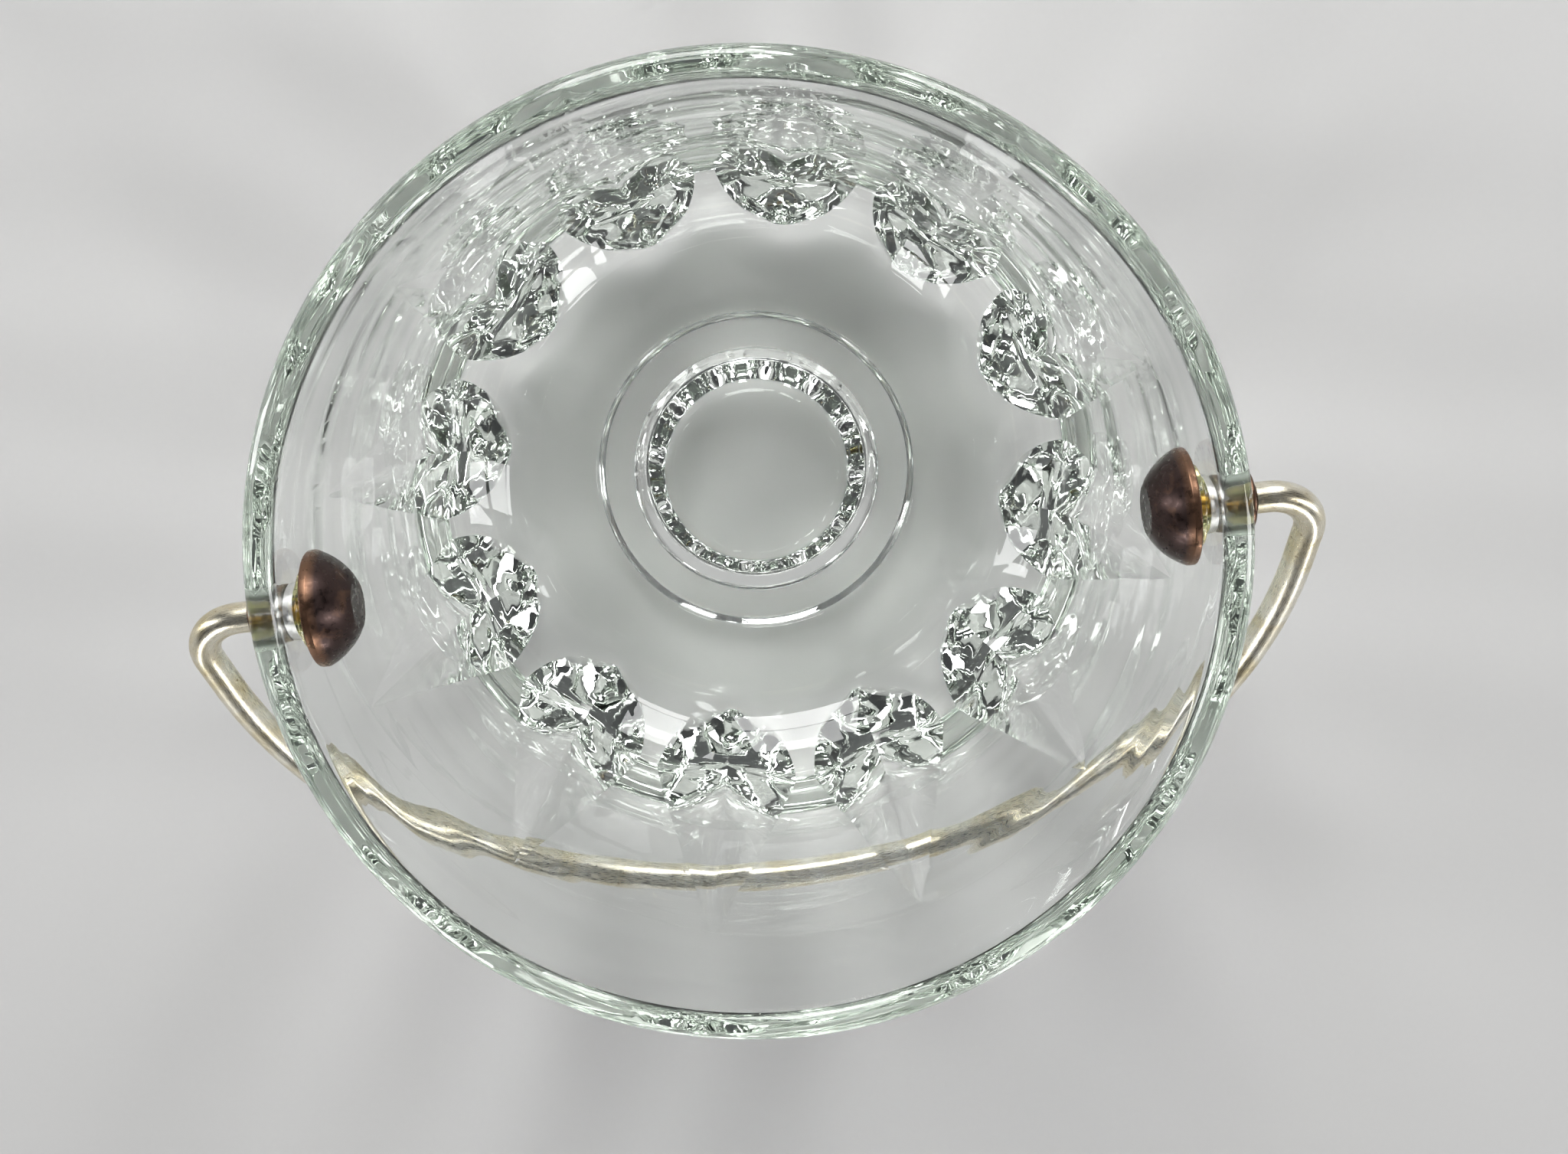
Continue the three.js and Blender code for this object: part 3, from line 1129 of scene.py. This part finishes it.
@dataclass
class PivotSet:
    """The bush, collar and cap nut on one end of the bail."""

    side: Side
    bore_radius: float = 2.3
    sleeve_radius: float = 4.7
    flange_radius: float = 6.8
    flange_face: float = 72.41
    flange_seat: float = 73.61
    sleeve_end: float = 79.65
    collar_seat: float = 79.95
    collar_radius: float = 5.0
    collar_thickness: float = 2.2
    groove_depth: float = 0.3
    groove_half_width: float = 0.35
    nut_seat: float = 72.11
    nut_radius: float = 9.7
    nut_height: float = 7.0
    nut_edge: float = 1.2
    nut_crown_radius: float = 4.2
    nut_bulge: float = 0.7
    nut_bore_depth: float = 5.0
    bore_break: float = 0.2
    edge_break: float = 0.3
    end_break: float = 0.5
    groove_break: float = 0.1
    brim_break: float = 0.35
    crown_break: float = 0.6
    arc_steps: int = 4
    crown_steps: int = 6
    brim_steps: tuple[int, ...] = (5, 4, 3)
    cone_steps: int = 18
    cone_ends: int = 3
    nut_run_step: float = 1.2
    sides: int = 96

    def ring(self, *corners: Place) -> list[complex]:
        """Closes a section of rounded corners.

        Args:
            *corners: In order, each corner's radius from the pivot axis, its height and its rounding.

        Returns:
            The section, ending where it starts.
        """
        points = [complex(radius, height) for radius, height, _ in corners]
        rounds = [(rounding, self.arc_steps) for _, _, rounding in corners]
        row = rounded_row([points[-1], *points, points[0]], rounds)
        return [*row[1:-1], row[1]]

    def bush(self) -> list[complex]:
        """Draws the flanged bush that lines the hole.

        Returns:
            Its section.
        """
        return self.ring(
            (self.bore_radius, self.flange_face, self.bore_break),
            (self.flange_radius, self.flange_face, self.edge_break),
            (self.flange_radius, self.flange_seat, self.edge_break),
            (self.sleeve_radius, self.flange_seat, self.bore_break),
            (self.sleeve_radius, self.sleeve_end, self.end_break),
            (self.bore_radius, self.sleeve_end, self.bore_break),
        )

    def collar(self) -> list[complex]:
        """Draws the washer at the rod's shoulder, with a shallow groove round its edge.

        Returns:
            Its section.
        """
        face = self.collar_seat + self.collar_thickness
        middle = (self.collar_seat + face) / 2
        return self.ring(
            (self.bore_radius, self.collar_seat, self.bore_break),
            (self.collar_radius, self.collar_seat, self.edge_break),
            (self.collar_radius, middle - self.groove_half_width, self.groove_break),
            (self.collar_radius - self.groove_depth, middle, self.groove_break),
            (self.collar_radius, middle + self.groove_half_width, self.groove_break),
            (self.collar_radius, face, self.end_break),
            (self.bore_radius, face, self.bore_break),
        )

    def cap_nut(self) -> list[complex]:
        """Draws the domed nut: a flat crown, a swelling cone and a thin rounded brim, with a blind bore.

        Returns:
            Its section, from the crown's middle to the bore's end.
        """
        crown_face, bore_end = self.nut_seat - self.nut_height, self.nut_seat - self.nut_bore_depth
        crown = complex(self.nut_crown_radius, crown_face)
        brim = complex(self.nut_radius, self.nut_seat - self.nut_edge)
        seat, inner = complex(self.nut_radius, self.nut_seat), complex(self.bore_radius, self.nut_seat)
        middle = (crown + brim) / 2 - 2j * self.nut_bulge * toward(crown, brim)
        cone = [on_curve(crown, middle, brim, i / self.cone_steps) for i in range(self.cone_steps + 1)]
        start, *cone, end = cone[self.cone_ends : -self.cone_ends + 1]
        top = rounded_row([complex(0, crown_face), crown, start], [(self.crown_break, self.crown_steps)])
        rounds = list(zip((self.brim_break, self.edge_break, self.bore_break), self.brim_steps))
        rest = rounded_row([end, brim, seat, inner, complex(self.bore_radius, bore_end)], rounds)
        return spaced([*top, *cone, *rest, complex(0, bore_end)], self.nut_run_step)

    def build(self) -> None:
        """Makes the three pieces and hands them to the frame."""
        for name, section, body, slot, node, finish in (
            ("nylon_bush", self.bush(), Body.BUCKET, "clear_nylon", "bush", NYLON),
            ("bronze_collar", self.collar(), Body.HANDLE, "dark_bronze", "collar", COLLAR_BRONZE),
            ("domed_nut", self.cap_nut(), Body.HANDLE, "dark_bronze", "cap_nut", NUT_BRONZE),
        ):
            piece = turn_on_pivot(name, section, self.side, self.sides)
            finish_piece(piece, body, slot, f"{node}_{self.side.label}", finish=finish)


# The bail


@dataclass
class Bail:
    """The bent rod that is the carrying handle, hanging against the wall, with a thread on each end."""

    rod_radius: float = 2.6
    shoulder: float = 82.45
    stub: float = 2.5
    bend: float = 8.0
    lean: float = 7.0
    wall_reach: float = 82.2
    spare: float = 14.7
    hang: float = 34.7
    shoulder_break: float = 0.5
    ends_in_rod: float = 4000.0
    rod_sides: int = 40
    stub_steps: int = 6
    bend_steps: int = 20
    crown_steps: int = 90
    thread_radius: float = 2.0
    thread_end: float = 67.71
    thread_pitch: float = 0.8
    thread_depth: float = 0.28
    thread_break: float = 0.6
    thread_lead: float = 0.4
    thread_crease: float = 50.0
    thread_sides: int = 40
    steps_in_pitch: int = 6

    def line(self) -> list[complex]:
        """Draws the rod's middle line in its own plane: straight stubs, bends, and its crown as one arc.

        Returns:
            Its points, with the pivot axis along the real numbers.
        """
        lean = math.radians(self.lean)
        height = self.wall_reach + self.spare
        start = self.shoulder + self.stub
        leg = start + self.bend * (1 + math.sin(lean)) / math.cos(lean)
        crown = (leg * math.cos(lean) - height * math.sin(lean)) / (1 - math.sin(lean))
        half = [complex(self.shoulder + self.stub * i / self.stub_steps, 0) for i in range(self.stub_steps)]
        turn, quarter = math.pi / 2 + lean, math.pi / 2
        for i in range(self.bend_steps + 1):
            angle = turn * i / self.bend_steps - quarter
            half.append(complex(start, self.bend) + self.bend * cmath.exp(1j * angle))
        for i in range(1, self.crown_steps + 1):
            angle = lean + (quarter - lean) * i / self.crown_steps
            half.append(complex(0, height - crown) + crown * cmath.exp(1j * angle))
        return half + [complex(-point.real, point.imag) for point in reversed(half[:-1])]

    def rod_recipe(self) -> ShapeRecipe:
        """Wires the tree that sweeps a round section along the rod's line, with both ends broken.

        Returns:
            The recipe.
        """
        recipe = ShapeRecipe("bent_rod")
        graph = recipe.graph
        radius = recipe.size("Rod Radius", self.rod_radius * MM)
        sides = recipe.size("Rod Sides", self.rod_sides)
        broken = recipe.size("Shoulder Break", self.shoulder_break * MM)
        spline = graph.add("GeometryNodeSplineParameter").outputs
        run, part = spline["Length"], spline["Factor"]
        path = graph.out("GeometryNodeMeshToCurve", {"Mesh": recipe.blank})
        ring = graph.out("GeometryNodeCurvePrimitiveCircle", {"Resolution": sides, "Radius": radius})
        ends = graph.math("MINIMUM", part, graph.math("SUBTRACT", 1.0, part))
        near = graph.math("MINIMUM", graph.math("MULTIPLY", ends, self.ends_in_rod), 1.0)
        thin = graph.math("SUBTRACT", 1.0, graph.math("DIVIDE", broken, radius))
        around = graph.math("MULTIPLY", part, math.tau, radius)
        swept = {
            "Curve": graph.store(path, "along", run, "FLOAT"),
            "Profile Curve": graph.store(ring, "around", around, "FLOAT"),
            "Scale": graph.spread(near, (0.0, 1.0, thin, 1.0)),
            "Fill Caps": True,
        }
        recipe.end(graph.out("GeometryNodeCurveToMesh", swept), PLATE.material())
        return recipe

    def thread(self, side: Side) -> Piece:
        """Makes the turned-down end with its helical thread.

        Args:
            side: The end of the pivot axis.

        Returns:
            The piece.
        """
        start, end = self.thread_end, self.shoulder + self.rod_radius / 2
        count = round((end - start) / (self.thread_pitch / self.steps_in_pitch))
        first = start + self.thread_lead
        section = [complex(0, start), complex(self.thread_radius - self.thread_break, start)]
        heights = (first + (end - first) * i / count for i in range(count + 1))
        section += [complex(self.thread_radius, height) for height in heights]
        section += [complex(0, end)]

        def nudge(i: int, angle: float) -> complex:
            """Cuts the thread into a point of the section.

            Args:
                i: The point's number.
                angle: Where the section stands round the rod.

            Returns:
                How far the point moves inwards.
            """
            if not 2 <= i < len(section) - 1:
                return 0j
            turns = section[i].imag / self.thread_pitch + side.value * angle / math.tau
            return complex(-self.thread_depth * abs(2 * (turns % 1.0) - 1), 0)

        return turn_on_pivot("thread", section, side, self.thread_sides, nudge)

    def build(self) -> None:
        """Makes the rod and its threaded ends, and hands them to the frame."""
        hang = math.radians(self.hang)
        down, out = math.sin(hang), math.cos(hang)
        places = [(point.real, -point.imag * out, PIVOT_HEIGHT - point.imag * down) for point in self.line()]
        mesh = bpy.data.meshes.new("bail_rod")
        edges = [(i, i + 1) for i in range(len(places) - 1)]
        mesh.from_pydata([[c * MM for c in place] for place in places], edges, [])
        rod = add_object("bail_rod", mesh)
        self.rod_recipe().run(rod)
        finish_piece(rod, Body.HANDLE, "silver_plate", "bail")
        for side in Side:
            finish_piece(self.thread(side), Body.HANDLE, "silver_plate", "bail",
                         finish=WORN_BRASS, crease=self.thread_crease)


# Studio


@dataclass(frozen=True)
class Softbox:
    """A soft lamp that faces the bucket. Its lengths are metres and its angles degrees."""

    name: str
    azimuth: float
    elevation: float
    width: float
    height: float
    power: float
    distance: float = 1.3
    aim: Place = (0.0, 0.0, 0.06)

    def hang(self) -> None:
        """Adds the lamp to the scene, unseen by the camera."""
        light = bpy.data.lights.new(self.name, "AREA")
        light.shape = "RECTANGLE"
        light.size, light.size_y = self.width, self.height
        light.energy = self.power
        lamp = add_object(self.name, light)
        turn, rise = math.radians(self.azimuth), math.radians(self.elevation)
        level = math.cos(rise)
        toward_lamp = Vector((level * math.cos(turn), level * math.sin(turn), math.sin(rise)))
        lamp.location = toward_lamp * self.distance
        lamp.rotation_euler = (Vector(self.aim) - lamp.location).to_track_quat("-Z", "Y").to_euler()
        lamp.visible_camera = False


SOFTBOXES = (
    Softbox("window", 96.0, 38.0, 0.55, 0.75, 12.0),
    Softbox("tall_window", 58.0, 30.0, 0.25, 0.7, 5.2),
    Softbox("right_panel", -15.0, 28.0, 0.2, 0.8, 4.4),
    Softbox("left_panel", 168.0, 25.0, 0.18, 0.8, 4.3),
    Softbox("left_strip", -128.0, 24.0, 0.14, 0.7, 3.5),
    Softbox("right_strip", -62.0, 24.0, 0.14, 0.7, 3.4),
)


@dataclass
class Studio:
    """A plain pale floor, soft light and the camera at the photograph's angle. Lengths here are metres."""

    softboxes: tuple[Softbox, ...] = SOFTBOXES
    floor_rings: tuple[float, ...] = (0.3, 0.8, 1.4, 2.4)
    floor_sides: int = 96
    lens: float = 38.67
    sensor: float = 36.0
    nearest: float = 0.01
    camera_place: Place = (0.0093865, 0.0494287, 0.387508)
    camera_turn: Place = (-11.12, -0.42, -6.75)
    horizon: Colour = (0.55, 0.55, 0.547, 1.0)
    horizon_until: float = 0.12
    shoulder: Colour = (0.035, 0.035, 0.037, 1.0)
    shoulder_at: float = 0.26
    zenith: Colour = (0.11, 0.112, 0.117, 1.0)
    glass_bounces: int = 20

    def floor(self) -> None:
        """Lays the floor: rings of points, and a last point in their middle."""
        rings, sides = self.floor_rings, self.floor_sides
        points = [cmath.rect(radius, math.tau * k / sides) for radius in rings for k in range(sides)]
        corners = [(point.real, point.imag, 0.0) for point in (*points, 0j)]
        faces = [(len(points), k, (k + 1) % sides) for k in range(sides)] + quads(len(rings), sides, False)
        mesh = bpy.data.meshes.new("floor")
        mesh.from_pydata(corners, [], faces)
        mesh.materials.append(FLOOR.material())
        sheet = add_object("floor", mesh)

    def sky(self) -> None:
        """Surrounds the scene with a soft gradient, pale at the horizon and darker above it."""
        world = bpy.data.worlds.new("studio")
        world.use_nodes = True
        world.node_tree.nodes.clear()
        graph = NodeGraph(world.node_tree)
        direction = graph.add("ShaderNodeTexCoord").outputs["Generated"]
        stops = (
            (0.0, self.horizon),
            (self.horizon_until, self.horizon),
            (self.shoulder_at, self.shoulder),
            (1.0, self.zenith),
        )
        ramp = graph.add("ShaderNodeValToRGB", {"Fac": graph.spread(graph.split(direction)[2], (0.0, 1.0))})
        marks = ramp.color_ramp.elements
        while len(marks) < len(stops):
            marks.new(1.0)
        for mark, (height, tone) in zip(marks, stops):
            mark.position, mark.color = height, tone
        colour = graph.mix(graph.seen(), ramp.outputs["Color"], FLOOR.backdrop)
        glow = graph.out("ShaderNodeBackground", {"Color": colour})
        graph.add("ShaderNodeOutputWorld", {"Surface": glow})
        bpy.context.scene.world = world

    def camera(self) -> None:
        """Sets the camera where the photograph was taken from."""
        view = bpy.data.cameras.new("photo_view")
        view.lens = self.lens
        view.sensor_width = self.sensor
        view.sensor_fit = "HORIZONTAL"
        view.clip_start = self.nearest
        camera = add_object("photo_view", view)
        camera.location = self.camera_place
        camera.rotation_euler = Euler([math.radians(a) for a in self.camera_turn], "XYZ")
        bpy.context.scene.camera = camera

    def build(self) -> None:
        """Sets up the floor, the light and the camera."""
        self.floor()
        self.sky()
        for softbox in self.softboxes:
            softbox.hang()
        rays = bpy.context.scene.cycles
        rays.blur_glossy = 0.0
        rays.max_bounces = self.glass_bounces
        rays.glossy_bounces = self.glass_bounces
        rays.transmission_bounces = self.glass_bounces
        self.camera()
        bpy.context.scene.view_settings.view_transform = "Standard"
        LOG.info("studio: floor, world, %d softboxes and the camera", len(self.softboxes))


def main() -> None:
    """Builds the bucket's looks in order, then the studio."""
    logging.basicConfig(level=logging.INFO, format="%(name)s %(message)s", stream=sys.stdout)
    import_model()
    GlassVessel().build()
    for side in Side:
        PivotSet(side).build()
    Bail().build()
    Studio().build()


if __name__ == "__main__":
    main()
